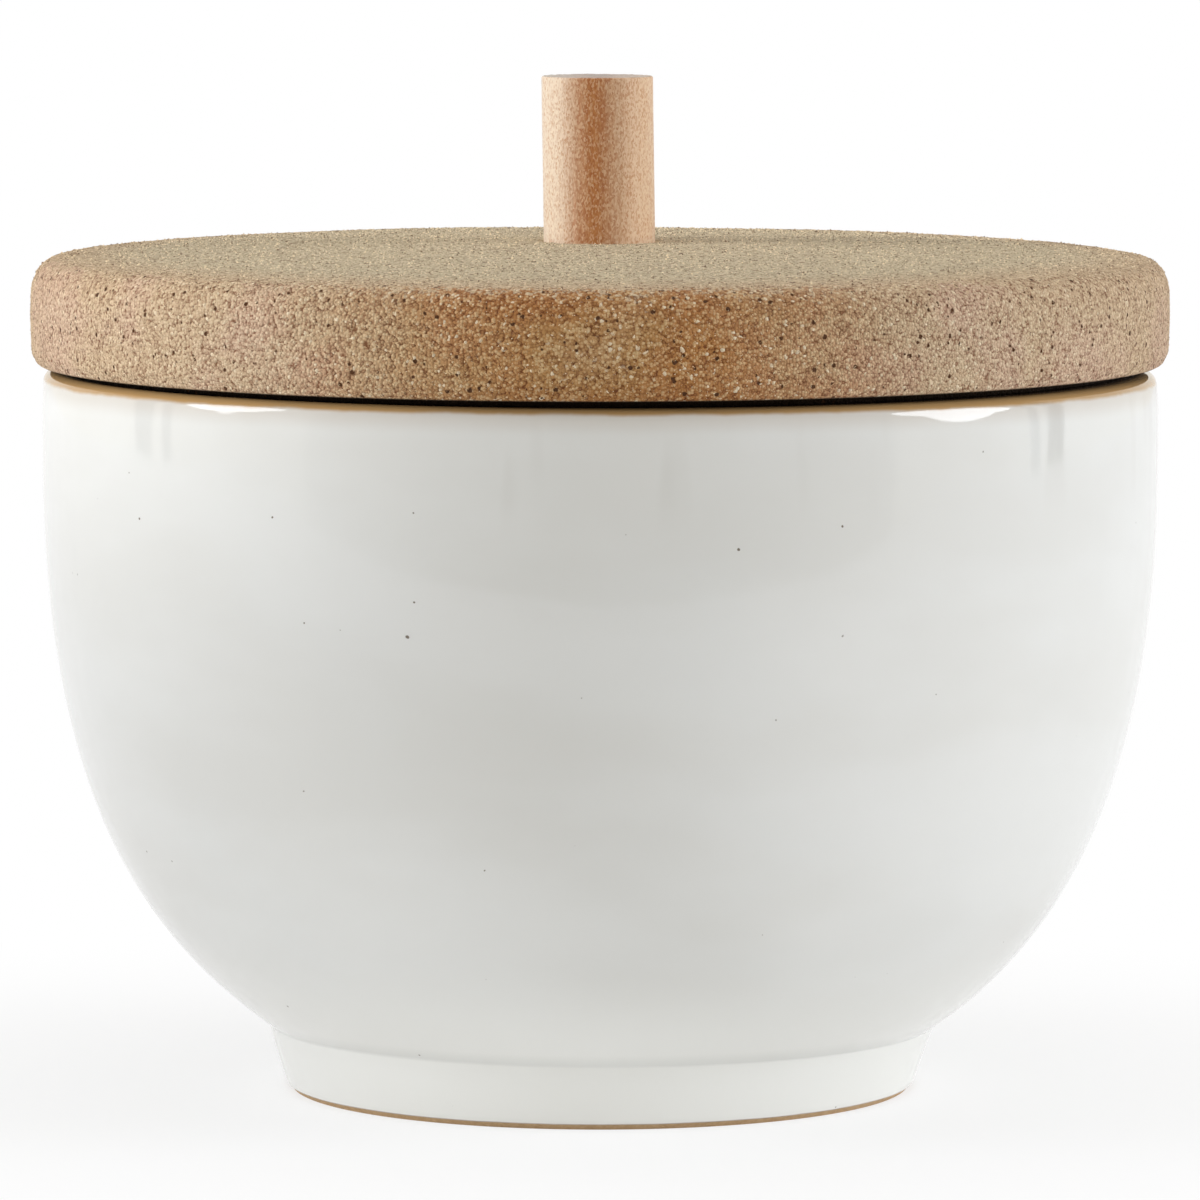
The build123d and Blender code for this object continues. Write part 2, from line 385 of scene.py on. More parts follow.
on_side = middle[:, 0] > LID_EDGE - SIDE_ZONE - 0.2
spacing = np.select([underneath, on_side], [SPACING_BELOW, SPACING_ON_SIDE], SPACING_ON_TOP)
lid_profile = fill(loop, spacing)
print("lid profile of", len(lid_profile), "points, top crowned on a sphere of", round(sphere, 1), "mm")

# %% [markdown]
# Coarse clay has a surface of its own: slow unevenness from pressing and sponging, and a pebbly grain of
# a millimetre or two. The side gives way inwards, to leave room for the sand that will stand on it, so the
# lid keeps its size. The top stays at its level and falls a little towards one side.

# %% The lid's surface
LID_COLUMNS = 560
UNEVEN, UNEVEN_WIDTH = 0.03, 24.0
PEBBLY, PEBBLE_WIDTH = 0.012, 1.7
SAND_ROOM = 0.14
TOP_FALL = 0.1
lid_grid = carry_round(lid_profile, LID_COLUMNS)
lid_normal = outward(lid_profile, LID_COLUMNS, closed=True)
from_axis = np.hypot(lid_grid[..., 0], lid_grid[..., 1])
bare_face = ease(lid_grid[..., 2], RIM + 0.1, RIM + 0.6) * (lid_normal[..., 2] > -0.9)
bare_face *= ease(from_axis, SOCKET_RADIUS, SOCKET_RADIUS + 0.6)
upward = ease(lid_normal[..., 2], 0.3, 0.95)
unevenness = UNEVEN * ripple(lid_grid, UNEVEN_WIDTH, seed=12)
unevenness += PEBBLY * ripple(lid_grid, PEBBLE_WIDTH, seed=13, waves=40)
unevenness -= (1 - upward) * (unevenness.max() + SAND_ROOM)
lid_grid += (bare_face * unevenness)[..., None] * lid_normal
on_top = upward * ease(from_axis, 8.0, 16.0)
lid_grid[..., 2] -= TOP_FALL * on_top * ease(lid_grid[..., 0], -15.0, 45.0)
lid = add_turned("lid_bare_clay", lid_grid, closed=True)
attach(lid, "lid")
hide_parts("lid")
print("clay gives way by up to", round(-unevenness.min(), 3), "mm")

# %% [markdown]
# ## Sand that stands proud
# Sponging washes the clay from between the sand, so single grains stand above the surface. Seen along the
# flat top they are what makes it look rough, and bump alone cannot show them there, so they are real:
# thousands of small octahedra with arms of uneven length, partly sunk into the clay at random places. All
# are made in one array, grain by corner by axis, and each grain keeps a random tone for its finish. The
# top, which the sponge washed most, has larger grains than the side.

# %% The standing sand
GRAINS = 24500
SUNK = 0.4  # share of a grain's size by which its middle lies below the surface
OCTAHEDRON = np.array([
    [0, 2, 4], [2, 1, 4], [1, 3, 4], [3, 0, 4], [2, 0, 5], [1, 2, 5], [3, 1, 5], [0, 3, 5],
])
rng = np.random.default_rng(21)
row_step = np.linalg.norm(np.roll(lid_profile, -1, axis=0) - np.roll(lid_profile, 1, axis=0), axis=1)
row_area = lid_profile[:, 0] * row_step * bare_face[:, 0]


def strew_sand(name, share, smallest, spread):
    """Sharp grains: a row drawn by its share of the area, an even column and a small step to one side give
    the place, and the six corners lie up, down and across at uneven distances round a random size."""
    row = rng.choice(len(lid_profile), GRAINS, p=share / share.sum())
    column = rng.integers(LID_COLUMNS, size=GRAINS)
    up = lid_normal[row, column]
    sideways = np.cross(up, rng.normal(size=up.shape))
    sideways /= np.linalg.norm(sideways, axis=1, keepdims=True)
    across = np.cross(up, sideways)
    size = smallest + spread * rng.random((GRAINS, 1)) ** 2
    aside = rng.uniform(-0.25, 0.25, size.shape) * row_step[row][:, None]
    centre = lid_grid[row, column] + aside * sideways - SUNK * size * up
    arms = np.stack([sideways, -sideways, across, -across, up, -up], axis=1)
    corners = centre[:, None] + (size * rng.uniform(0.75, 1.25, (GRAINS, 6)))[..., None] * arms
    faces = 6 * np.arange(GRAINS)[:, None, None] + OCTAHEDRON
    sand = add_mesh(name, corners.reshape(-1, 3), faces.reshape(-1, 3).tolist())
    tones = np.repeat(rng.random(GRAINS), 6)
    sand.data.attributes.new("grain_tone", "FLOAT", "POINT").data.foreach_set("value", tones)
    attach(sand, "lid")
    print("grains from", round(2 * size.min(), 2), "to", round(2 * size.max(), 2), "mm wide")
    return sand


top_sand = strew_sand("lid_top_sand", row_area * upward[:, 0], smallest=0.08, spread=0.10)
side_sand = strew_sand("lid_side_sand", row_area * (1 - upward[:, 0]), smallest=0.05, spread=0.06)

# %% [markdown]
# ## The knob
# The knob is a length of round beech rod, sawn square and lightly sanded, let into the lid. Wood is
# softer between its fibres, so sanding leaves shallow grooves along the rod: noise stretched along Z. The
# rod also stands a hair out of upright, as it does on the real lid.

# %% The knob's surface
KNOB_RADIUS = knob_high.x
KNOB_EDGE = 0.25
KNOB_COLUMNS = 240
KNOB_SPACING = 0.35
PILOT_RADIUS = 1.2
PILOT_TOP = 84.5
FIBRE_DEPTH, FIBRE_WIDTH = 0.010, 0.55
SAW_DEPTH, SAW_WIDTH = 0.008, 0.8
LEAN = np.tan(np.radians(0.8))
knob_corners = np.array([
    [0, PILOT_TOP, 0],
    [PILOT_RADIUS, PILOT_TOP, 0],
    [PILOT_RADIUS, knob_low.z, 0.1],
    [KNOB_RADIUS, knob_low.z, KNOB_EDGE],
    [KNOB_RADIUS, knob_high.z, KNOB_EDGE],
    [0, knob_high.z, 0],
])
knob_profile = fill(soften(knob_corners, steps=6), KNOB_SPACING)
knob_grid = carry_round(knob_profile, KNOB_COLUMNS)
knob_normal = outward(knob_profile, KNOB_COLUMNS, closed=False)
knob_height = knob_grid[..., 2]
fibres = ripple(knob_grid * [1.0, 1.0, 0.04], FIBRE_WIDTH, seed=31)
sawn = ripple(knob_grid * [0.15, 1.0, 0.0], SAW_WIDTH, seed=32)
sawn *= ease(knob_normal[..., 2], 0.8, 1.0)
groove = FIBRE_DEPTH * (fibres - fibres.max()) + SAW_DEPTH * (sawn - sawn.max())
above_socket = ease(knob_height, SOCKET_FLOOR + 1.0, SOCKET_FLOOR + 2.0)
outside_pilot = np.hypot(knob_grid[..., 0], knob_grid[..., 1]) > PILOT_RADIUS + 0.05
knob_grid += (groove * above_socket * outside_pilot)[..., None] * knob_normal
knob_grid[..., 0] -= LEAN * (knob_height - SOCKET_FLOOR)
knob = add_turned("knob_rod", knob_grid, closed=False)
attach(knob, "lid")
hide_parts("knob")
print("knob stands", round(knob_high.z - lid_top, 2), "mm tall, with grooves of", round(-groove.min(), 3))

# %% [markdown]
# ## Finishes
# Every finish is a small node graph on Object coordinates, which are metres here, so a pattern whose
# grains are so many mm wide has a scale of 1000 / width. Colours are written as sRGB hex, the way they
# are picked, and turned to linear light once. One function adds a node, sets what is constant, links
# what is not and hands back the output that the next node needs. Sockets go by number where Blender has
# several of one name: Map Range takes its value at 0 and maps 1 to 2 onto 3 to 4, a colour Mix takes its
# share at 0 and its two colours at 6 and 7, and a Mix of numbers has those at 2 and 3.


# %% Colour and scale
def linear(code):
    """Linear RGBA from an sRGB hex colour."""
    value = np.array([int(code[i : i + 2], 16) for i in (1, 3, 5)]) / 255
    light = np.where(value <= 0.04045, value / 12.92, ((value + 0.055) / 1.055) ** 2.4)
    return (*light.tolist(), 1.0)


def per_mm(width):
    """Texture scale at which a pattern repeats about every so many mm."""
    return 1 / (width * MM)


print("grey #808080 is", round(linear("#808080")[0], 3), "in linear light, and 2 mm is a scale of", per_mm(2))

# %% Nodes and finishes
COLOUR = {"data_type": "RGBA", "output": 2}
SMOOTH = {"interpolation_type": "SMOOTHSTEP"}
SPOT_EDGE = 0.05  # mm over which a strewn spot fades out


def add_node(tree, kind, inputs, output=0, **settings):
    """Adds a shader node: settings go to its properties, inputs to its sockets, linked or constant."""
    made = tree.nodes.new("ShaderNode" + kind)
    for name, value in settings.items():
        setattr(made, name, value)
    for name, value in inputs.items():
        if isinstance(value, bpy.types.NodeSocket):
            tree.links.new(value, made.inputs[name])
        else:
            made.inputs[name].default_value = value
    return made.outputs[output] if len(made.outputs) else made


def empty_tree(owner):
    """The node tree of a material or a world, emptied."""
    owner.use_nodes = True
    owner.node_tree.nodes.clear()
    return owner.node_tree


def new_finish(name):
    """A material with an empty graph, its Object coordinates and their height in mm."""
    finish = bpy.data.materials.new(name)
    tree = empty_tree(finish)
    place = add_node(tree, "TexCoord", {}, output="Object")
    metres = add_node(tree, "SeparateXYZ", {"Vector": place}, output="Z")
    level = add_node(tree, "Math", {0: metres, 1: 1 / MM}, operation="MULTIPLY")
    return finish, tree, place, level


def close_finish(tree, colour, roughness, relief, depth, **constants):
    """Principled shader with linked colour and roughness, a bump of some mm, and constant sockets."""
    bump = add_node(tree, "Bump", {"Height": relief, "Distance": depth * MM, "Strength": 1.0})
    sockets = {"Base Color": colour, "Roughness": roughness, "Normal": bump}
    shader = add_node(tree, "BsdfPrincipled", {**sockets, **constants})
    add_node(tree, "OutputMaterial", {"Surface": shader})
    print("finish with", len(tree.nodes), "nodes")


def strewn(tree, place, spacing, size):
    """1 inside round spots and 0 between: each Voronoi cell has one, with a random radius up to a size."""
    pattern = {"Vector": place, "Scale": per_mm(spacing)}
    luck = add_node(tree, "SeparateXYZ", {"Vector": add_node(tree, "TexVoronoi", pattern, output="Color")})
    reach = add_node(tree, "Math", {0: luck, 1: size / spacing}, operation="MULTIPLY")
    distance = add_node(tree, "TexVoronoi", pattern, output="Distance")
    inside = add_node(tree, "Math", {0: reach, 1: distance}, operation="SUBTRACT")
    return add_node(tree, "MapRange", {0: inside, 1: 0.0, 2: SPOT_EDGE / spacing})


def off_axis(tree, place):
    """Distance of a place from the Z axis: the length of its X and Y alone."""
    flat_place = add_node(tree, "VectorMath", {0: place, 1: (1, 1, 0)}, operation="MULTIPLY")
    return add_node(tree, "VectorMath", {0: flat_place}, output="Value", operation="LENGTH")


# %% [markdown]
# ## White glaze over stoneware
# The coat is a dipped gloss glaze. The eye sees an off-white mirror that is a little uneven: greyer in
# level clouds left by the turning, greyer still in runs below the lip, whitest towards the foot, with a grey
# line of painted shade in the crease above it, tan on the lip where it is thin enough for the clay to show,
# and gone at the very bottom. The flat that carries the lid is painted dark as the shade of the gap above it.
# A few iron specks and pinholes break it. It could be painted on an unwrapped mesh, but height and distance
# from the axis tell lip, wall and foot apart, and noise stretched along or across Z draws runs and clouds at
# true size.

# %% Glaze finish: colour of the coat
glaze, tree, place, level = new_finish("stoneware_dipped_white_gloss_glaze")
cloud = add_node(tree, "TexNoise", {"Vector": place, "Scale": per_mm(16), "Detail": 3.0})
turned = add_node(tree, "Mapping", {"Vector": place, "Scale": (1, 1, 2.5)})
bank = add_node(tree, "TexNoise", {"Vector": turned, "Scale": per_mm(42), "Detail": 3.0})
upright = add_node(tree, "Mapping", {"Vector": place, "Scale": (1, 1, 0.1)})
streak = add_node(tree, "TexNoise", {"Vector": upright, "Scale": per_mm(7.0), "Detail": 2.0})
coat = add_node(tree, "Mix", {0: cloud, 6: linear("#EEEEEB"), 7: linear("#E8E9E7")}, **COLOUR)
veil = add_node(tree, "MapRange", {0: bank, 1: 0.38, 2: 0.66, 4: 0.5}, **SMOOTH)
coat = add_node(tree, "Mix", {0: veil, 6: coat, 7: linear("#E0DFDA")}, **COLOUR)
# The coat is drawn whiter towards the foot.
whiter_towards_foot = add_node(tree, "MapRange", {0: level, 1: FOOT_HEIGHT + 11.0, 2: FOOT_HEIGHT + 0.5}, **SMOOTH)
coat = add_node(tree, "Mix", {0: whiter_towards_foot, 6: coat, 7: linear("#F6F6F2")}, **COLOUR)
# Painted shade: a grey line in the crease where the belly meets the foot.
painted_crease_shade = add_node(tree, "MapRange", {0: level, 1: FOOT_HEIGHT + 1.2, 2: FOOT_HEIGHT + 0.1, 4: 0.3})
on_neck = add_node(tree, "MapRange", {0: level, 1: FOOT_HEIGHT - 0.15, 2: FOOT_HEIGHT + 0.05})
painted_crease_shade = add_node(tree, "Math", {0: painted_crease_shade, 1: on_neck}, operation="MULTIPLY")
coat = add_node(tree, "Mix", {0: painted_crease_shade, 6: coat, 7: linear("#D2D4D1")}, **COLOUR)
under_lip = add_node(tree, "MapRange", {0: level, 1: SEAT - 12.0, 2: SEAT - 2.5}, **SMOOTH)
run = add_node(tree, "MapRange", {0: streak, 1: 0.57, 2: 0.64, 4: 0.4}, **SMOOTH)
run = add_node(tree, "Math", {0: run, 1: under_lip}, operation="MULTIPLY")
coat = add_node(tree, "Mix", {0: run, 6: coat, 7: linear("#D2D0CA")}, **COLOUR)
print("coat drawn with", len(tree.nodes), "nodes")

# %% Glaze finish: iron specks and pinholes
stray = add_node(tree, "TexNoise", {"Vector": place, "Scale": per_mm(0.7), "Detail": 1.0}, output="Color")
shifted = add_node(tree, "VectorMath", {0: stray, 1: [0.25 * MM] * 3, 2: place}, operation="MULTIPLY_ADD")
large = strewn(tree, shifted, spacing=8.0, size=0.26)
small = strewn(tree, shifted, spacing=3.0, size=0.15)
specks = add_node(tree, "Math", {0: large, 1: small}, operation="MAXIMUM")
coat = add_node(tree, "Mix", {0: specks, 6: coat, 7: linear("#7C7164")}, **COLOUR)
print("with specks", len(tree.nodes), "nodes")

# %% Glaze finish: thin glaze on the lip
# The thin edge follows the tilt of the lip and reaches lower towards both ends, left and right, where the tan
# is partly painted warm light bounced from the clay lid.
ragged = add_node(tree, "TexNoise", {"Vector": place, "Scale": per_mm(6.0), "Detail": 4.0, "Roughness": 0.6})
sideways = add_node(tree, "SeparateXYZ", {"Vector": place}, output="X")
fall = LIP_TILT / (BOWL_RADIUS * MM)
from_lip = add_node(tree, "Math", {0: sideways, 1: fall, 2: level}, operation="MULTIPLY_ADD")
to_end = add_node(tree, "Math", {0: sideways, 1: 1 / (BOWL_RADIUS * MM)}, operation="MULTIPLY")
to_end = add_node(tree, "Math", {0: to_end, 1: to_end}, operation="MULTIPLY")
from_lip = add_node(tree, "Math", {0: to_end, 1: 0.4, 2: from_lip}, operation="MULTIPLY_ADD")
uneven = add_node(tree, "Math", {0: ragged, 1: 0.5, 2: from_lip}, operation="MULTIPLY_ADD")
blush = add_node(tree, "MapRange", {0: uneven, 1: SEAT - 2.2, 2: SEAT - 0.3, 4: 0.5}, **SMOOTH)
coat = add_node(tree, "Mix", {0: blush, 6: coat, 7: linear("#CDC2B5")}, **COLOUR)
thin = add_node(tree, "MapRange", {0: uneven, 1: SEAT - 0.45, 2: SEAT - 0.05}, **SMOOTH)
coat = add_node(tree, "Mix", {0: thin, 6: coat, 7: linear("#C09A68")}, **COLOUR)
reach = off_axis(tree, place)
# Painted shade: the flat that carries the lid is drawn dark, as the shade in the gap above it.
painted_gap_shade_on_lip = add_node(tree, "MapRange", {0: reach, 1: (BOWL_RADIUS - 1.2) * MM, 2: (BOWL_RADIUS - 1.8) * MM})
top = add_node(tree, "MapRange", {0: level, 1: SEAT - 0.8, 2: SEAT - 0.5})
painted_gap_shade_on_lip = add_node(tree, "Math", {0: painted_gap_shade_on_lip, 1: top}, operation="MULTIPLY")
coat = add_node(tree, "Mix", {0: painted_gap_shade_on_lip, 6: coat, 7: linear("#33241A")}, **COLOUR)
print("with the lip", len(tree.nodes), "nodes")

# %% Glaze finish: bare clay at the foot
grit = add_node(tree, "TexNoise", {"Vector": place, "Scale": per_mm(0.5), "Detail": 3.0, "Roughness": 0.7})
clay = add_node(tree, "Mix", {0: grit, 6: linear("#B08A60"), 7: linear("#E0C49C")}, **COLOUR)
ending = add_node(tree, "Math", {0: ragged, 1: 0.14, 2: level}, operation="MULTIPLY_ADD")
edge = add_node(tree, "MapRange", {0: ending, 1: GLAZE_END + 0.02, 2: GLAZE_END + 0.16, 3: 1.0, 4: 0.0})
coat = add_node(tree, "Mix", {0: edge, 6: coat, 7: linear("#8A6A50")}, **COLOUR)
bare = add_node(tree, "MapRange", {0: ending, 1: GLAZE_END, 2: GLAZE_END + 0.08, 3: 1.0, 4: 0.0})
colour = add_node(tree, "Mix", {0: bare, 6: coat, 7: clay}, **COLOUR)
print("with the foot", len(tree.nodes), "nodes")

# %% Glaze finish: gloss and relief
gloss = add_node(tree, "MapRange", {0: cloud, 1: 0.3, 2: 0.7, 3: 0.03, 4: 0.06})
rough = add_node(tree, "Mix", {0: bare, 2: gloss, 3: 0.8}, data_type="FLOAT")
skin = add_node(tree, "TexNoise", {"Vector": place, "Scale": per_mm(3.5), "Detail": 1.0})
pinhole = add_node(tree, "Math", {0: specks, 1: -5.0, 2: skin}, operation="MULTIPLY_ADD")
rubbed = add_node(tree, "Math", {0: grit, 1: 5.0}, operation="MULTIPLY")
relief = add_node(tree, "Mix", {0: bare, 2: pinhole, 3: rubbed}, data_type="FLOAT")
close_finish(tree, colour, rough, relief, depth=0.006, IOR=1.52)
bowl.data.materials.append(glaze)

# %% [markdown]
# ## Bare sandy stoneware
# The lid was sponged before firing, which washes the fine clay away and leaves sand grains standing. The
# eye sees a matt crumbly surface in which every grain has its own tone: cream quartz, tan clay, dark
# creases and small brown pits; the creases and pits are drawn darker partly as painted shade. The kiln
# toasted the side that faced the flame to orange-brown, most of all along the edges, and left the top
# grey-beige, with a ragged line between. The ends are drawn pale and pink, partly as painted sheen from the
# side light. One function gives that ground colour, because the clay and the sand that stands on it both
# need it.

# %% Ground colour of clay and sand
FLAME_START, FLAME_FULL = -44.8, -58.3  # Y in mm, then moved in patches


def fired_ground(tree, place, level):
    """Colour of the fired body by place: pale top, warmer side, toasted front and edges, in ragged zones.
    The pale pink ends are partly painted sheen.
    """
    patch = add_node(tree, "TexNoise", {"Vector": place, "Scale": per_mm(11), "Detail": 3.0})
    reach = off_axis(tree, place)
    ragged_reach = add_node(tree, "Math", {0: patch, 1: 2.0 * MM, 2: reach}, operation="MULTIPLY_ADD")
    fray = add_node(tree, "TexNoise", {"Vector": place, "Scale": per_mm(0.5), "Detail": 2.0})
    ragged_reach = add_node(tree, "Math", {0: fray, 1: 6.5 * MM, 2: ragged_reach}, operation="MULTIPLY_ADD")
    start, end = (LID_EDGE + 2.2) * MM, (LID_EDGE + 2.7) * MM
    side = add_node(tree, "MapRange", {0: ragged_reach, 1: start, 2: end}, **SMOOTH)
    depth = add_node(tree, "SeparateXYZ", {"Vector": place}, output="Y")
    flame = add_node(tree, "Math", {0: patch, 1: -9 * MM, 2: depth}, operation="MULTIPLY_ADD")
    flame = add_node(tree, "MapRange", {0: flame, 1: FLAME_START * MM, 2: FLAME_FULL * MM}, **SMOOTH)
    rosy = add_node(tree, "MapRange", {0: patch, 1: 0.42, 2: 0.60}, **SMOOTH)
    pale = add_node(tree, "Mix", {0: rosy, 6: linear("#CEB292"), 7: linear("#D0B096")}, **COLOUR)
    toasted = add_node(tree, "Mix", {0: rosy, 6: linear("#B27C36"), 7: linear("#B47A3C")}, **COLOUR)
    # Partly painted sheen: away from the toasted front, the ends of the side stay pale and pink, as side
    # light makes them look.
    ground = add_node(tree, "Mix", {0: flame, 6: pale, 7: toasted}, **COLOUR)
    flush = add_node(tree, "MapRange", {0: reach, 1: (LID_EDGE - 12) * MM, 2: LID_EDGE * MM}, **SMOOTH)
    top = add_node(tree, "Mix", {0: flush, 6: linear("#CABA9C"), 7: linear("#CDB190")}, **COLOUR)
    ground = add_node(tree, "Mix", {0: side, 6: top, 7: ground}, **COLOUR)
    high = add_node(tree, "MapRange", {0: level, 1: RIM + 5.8, 2: RIM + 8.4}, **SMOOTH)
    low = add_node(tree, "MapRange", {0: level, 1: RIM + 2.2, 2: RIM + 0.3}, **SMOOTH)
    edges = add_node(tree, "Math", {0: high, 1: low}, operation="MAXIMUM")
    edges = add_node(tree, "Math", {0: edges, 1: side}, operation="MULTIPLY")
    heat = add_node(tree, "MapRange", {0: flame, 3: 0.05, 4: 0.6})
    edges = add_node(tree, "Math", {0: edges, 1: heat}, operation="MULTIPLY")
    return add_node(tree, "Mix", {0: edges, 6: ground, 7: linear("#AA6E38")}, **COLOUR)


print("clay is toasted from", -FLAME_START, "to", -FLAME_FULL, "mm in front of the axis")

# %% [markdown]
# One Voronoi cell is one grain: the cell's random colour gives its tone, and the distance from the cell's
# middle makes it a hump with a dark crease round it, partly darker clay and partly painted shade for relief
# too fine to show. A noise texture would give soft blotches instead of grains. The cells are a quarter of a
# millimetre wide, about twice the real grain, so that they show. The step under the rim is painted dark as
# the shade in the gap under the real lid, and the painted shade reaches up the edge above it.

# %% Clay finish: grains
DULL = {"Specular IOR Level": 0.3}
GRAIN = 0.24
bare_clay, tree, place, level = new_finish("stoneware_sponged_unglazed_sandy_clay")
earth = fired_ground(tree, place, level)
tone = add_node(tree, "TexVoronoi", {"Vector": place, "Scale": per_mm(GRAIN)}, output="Color")
hump = add_node(tree, "TexVoronoi", {"Vector": place, "Scale": per_mm(GRAIN)}, output="Distance")
lightness = add_node(tree, "SeparateXYZ", {"Vector": tone}, output="X")
rarity = add_node(tree, "SeparateXYZ", {"Vector": tone}, output="Y")
mottle = add_node(tree, "TexNoise", {"Vector": place, "Scale": per_mm(0.5), "Detail": 2.0, "Roughness": 0.6})
shade = add_node(tree, "Math", {0: mottle, 1: 0.2, 2: lightness}, operation="MULTIPLY_ADD")
# Partly painted shade: the colour darkens towards the edge of each grain, where the crease is.
shade = add_node(tree, "Math", {0: hump, 1: -0.8, 2: shade}, operation="MULTIPLY_ADD")
dark_share = add_node(tree, "MapRange", {0: shade, 1: -0.45, 2: 0.10, 3: 0.85, 4: 0.0})
pale_share = add_node(tree, "MapRange", {0: shade, 1: 0.28, 2: 0.75, 3: 0.0, 4: 0.85})
bright, deep = linear("#BCA27E"), linear("#8A5A30")
earth = add_node(tree, "Mix", {0: pale_share, 6: earth, 7: bright}, blend_type="SCREEN", **COLOUR)
earth = add_node(tree, "Mix", {0: dark_share, 6: earth, 7: deep}, blend_type="MULTIPLY", **COLOUR)
quartz = add_node(tree, "MapRange", {0: rarity, 1: 0.972, 2: 0.982, 4: 0.9})
earth = add_node(tree, "Mix", {0: quartz, 6: earth, 7: linear("#F2DFC0")}, **COLOUR)
# Painted shade: the step under the rim and the edge just above it are drawn dark, as the shade in the gap.
shaded = add_node(tree, "MapRange", {0: level, 1: RIM + 0.20, 2: RIM + 0.02}, **SMOOTH)
above_ring = add_node(tree, "MapRange", {0: level, 1: SEAT - 0.3, 2: SEAT - 0.05})
painted_gap_shade_on_lid = add_node(tree, "Math", {0: shaded, 1: above_ring}, operation="MULTIPLY")
earth = add_node(tree, "Mix", {0: painted_gap_shade_on_lid, 6: earth, 7: linear("#2E2014")}, **COLOUR)
print("grains drawn with", len(tree.nodes), "nodes")

# %% Clay finish: pits, roughness and relief
crumbled = add_node(tree, "VectorMath", {0: tone, 1: [0.1 * MM] * 3, 2: place}, operation="MULTIPLY_ADD")
# Pits are drawn dark brown: partly the clay's colour and partly painted shade inside them.
hole = strewn(tree, crumbled, spacing=0.9, size=0.24)
colour = add_node(tree, "Mix", {0: hole, 6: earth, 7: linear("#54331A")}, **COLOUR)
rough = add_node(tree, "MapRange", {0: rarity, 3: 0.95, 4: 0.7})
relief = add_node(tree, "Math", {0: hump, 1: -1.5, 2: mottle}, operation="MULTIPLY_ADD")
relief = add_node(tree, "Math", {0: hole, 1: -0.4, 2: relief}, operation="MULTIPLY_ADD")
close_finish(tree, colour, rough, relief, depth=0.13, IOR=1.5, **DULL)
lid.data.materials.append(bare_clay)

# %% [markdown]
# The standing grains are quartz sand fired into the clay. A film of clay tints them like the ground below
# them. About half are duskier than it, the others are paler, and a few are clean and catch the light as
# cream sparks. Each grain carries its random tone as an attribute of the mesh, so thresholds on that tone
# are all it takes.

# %% Sand finish
quartz_sand, tree, place, level = new_finish("quartz_sand_fired_in_clay")
earth = fired_ground(tree, place, level)
tone = add_node(tree, "Attribute", {}, output="Fac", attribute_name="grain_tone")
dusky = add_node(tree, "MapRange", {0: tone, 1: 0.0, 2: 0.5, 3: 1.0, 4: 0.0})
deep = linear("#6E4C2C")
earth = add_node(tree, "Mix", {0: dusky, 6: earth, 7: deep}, blend_type="MULTIPLY", **COLOUR)
pale = add_node(tree, "MapRange", {0: tone, 1: 0.50, 2: 0.85, 3: 0.0, 4: 1.0})
earth = add_node(tree, "Mix", {0: pale, 6: earth, 7: linear("#F2DDB8")}, **COLOUR)
clear = add_node(tree, "MapRange", {0: tone, 1: 0.93, 2: 0.95})
colour = add_node(tree, "Mix", {0: clear, 6: earth, 7: linear("#F4E2C2")}, **COLOUR)
rough = add_node(tree, "MapRange", {0: tone, 3: 0.7, 4: 0.3})
film = add_node(tree, "TexNoise", {"Vector": place, "Scale": per_mm(0.1), "Detail": 1.0})
close_finish(tree, colour, rough, film, depth=0.01, IOR=1.54, **DULL)
for sand in (top_sand, side_sand):
    sand.data.materials.append(quartz_sand)

# %% [markdown]
# ## Beech
# The rod is beech, turned, sanded and left without varnish. The eye sees a satin surface with soft upright
# bands, fine fibres, short brown flecks, which are its rays, and a greyer, rougher sawn end. The bands are
# growth rings: circles round a pith that lay well outside the rod, bent a little by noise, and drawn so
# wide that one dark band crosses the front, as on the real rod, with cream wood on the side of the pith,
# the left, and tan wood on the other. The cream side is partly painted sheen from the light on the left.
# Fibres and flecks are noise and Voronoi cells stretched along Z.

# %% Beech finish: growth rings
GROWTH_RING = 9.0
PITH = np.array([-44.3, 0.0, 0.0]) * MM
CREAM_END, TAN_START = 42.0, 47.0  # mm from the pith
beech, tree, place, level = new_finish("beech_turned_and_sanded")
upright = add_node(tree, "Mapping", {"Vector": place, "Scale": (1, 1, 0.06)})
bent = add_node(tree, "TexNoise", {"Vector": upright, "Scale": per_mm(4.0), "Detail": 2.0})
from_pith = add_node(tree, "VectorMath", {0: place, 1: PITH}, operation="SUBTRACT")
from_pith = off_axis(tree, from_pith)
years = add_node(tree, "Math", {0: bent, 1: 2.0 * MM, 2: from_pith}, operation="MULTIPLY_ADD")
years = add_node(tree, "Math", {0: years, 1: 2 * np.pi * per_mm(GROWTH_RING)}, operation="MULTIPLY")
years = add_node(tree, "Math", {0: years}, operation="COSINE")
rings = add_node(tree, "MapRange", {0: years, 1: 1.0, 2: -1.0})
# Partly painted sheen: the wood is drawn cream on the pith's side, the left, and tan on the right.
cream_sheen_to_tan = add_node(tree, "MapRange", {0: from_pith, 1: CREAM_END * MM, 2: TAN_START * MM})
light = add_node(tree, "Mix", {0: cream_sheen_to_tan, 6: linear("#E8D6C0"), 7: linear("#ECCAA6")}, **COLOUR)
wood = add_node(tree, "Mix", {0: rings, 6: linear("#B0743E"), 7: light}, **COLOUR)
print("growth rings drawn with", len(tree.nodes), "nodes")

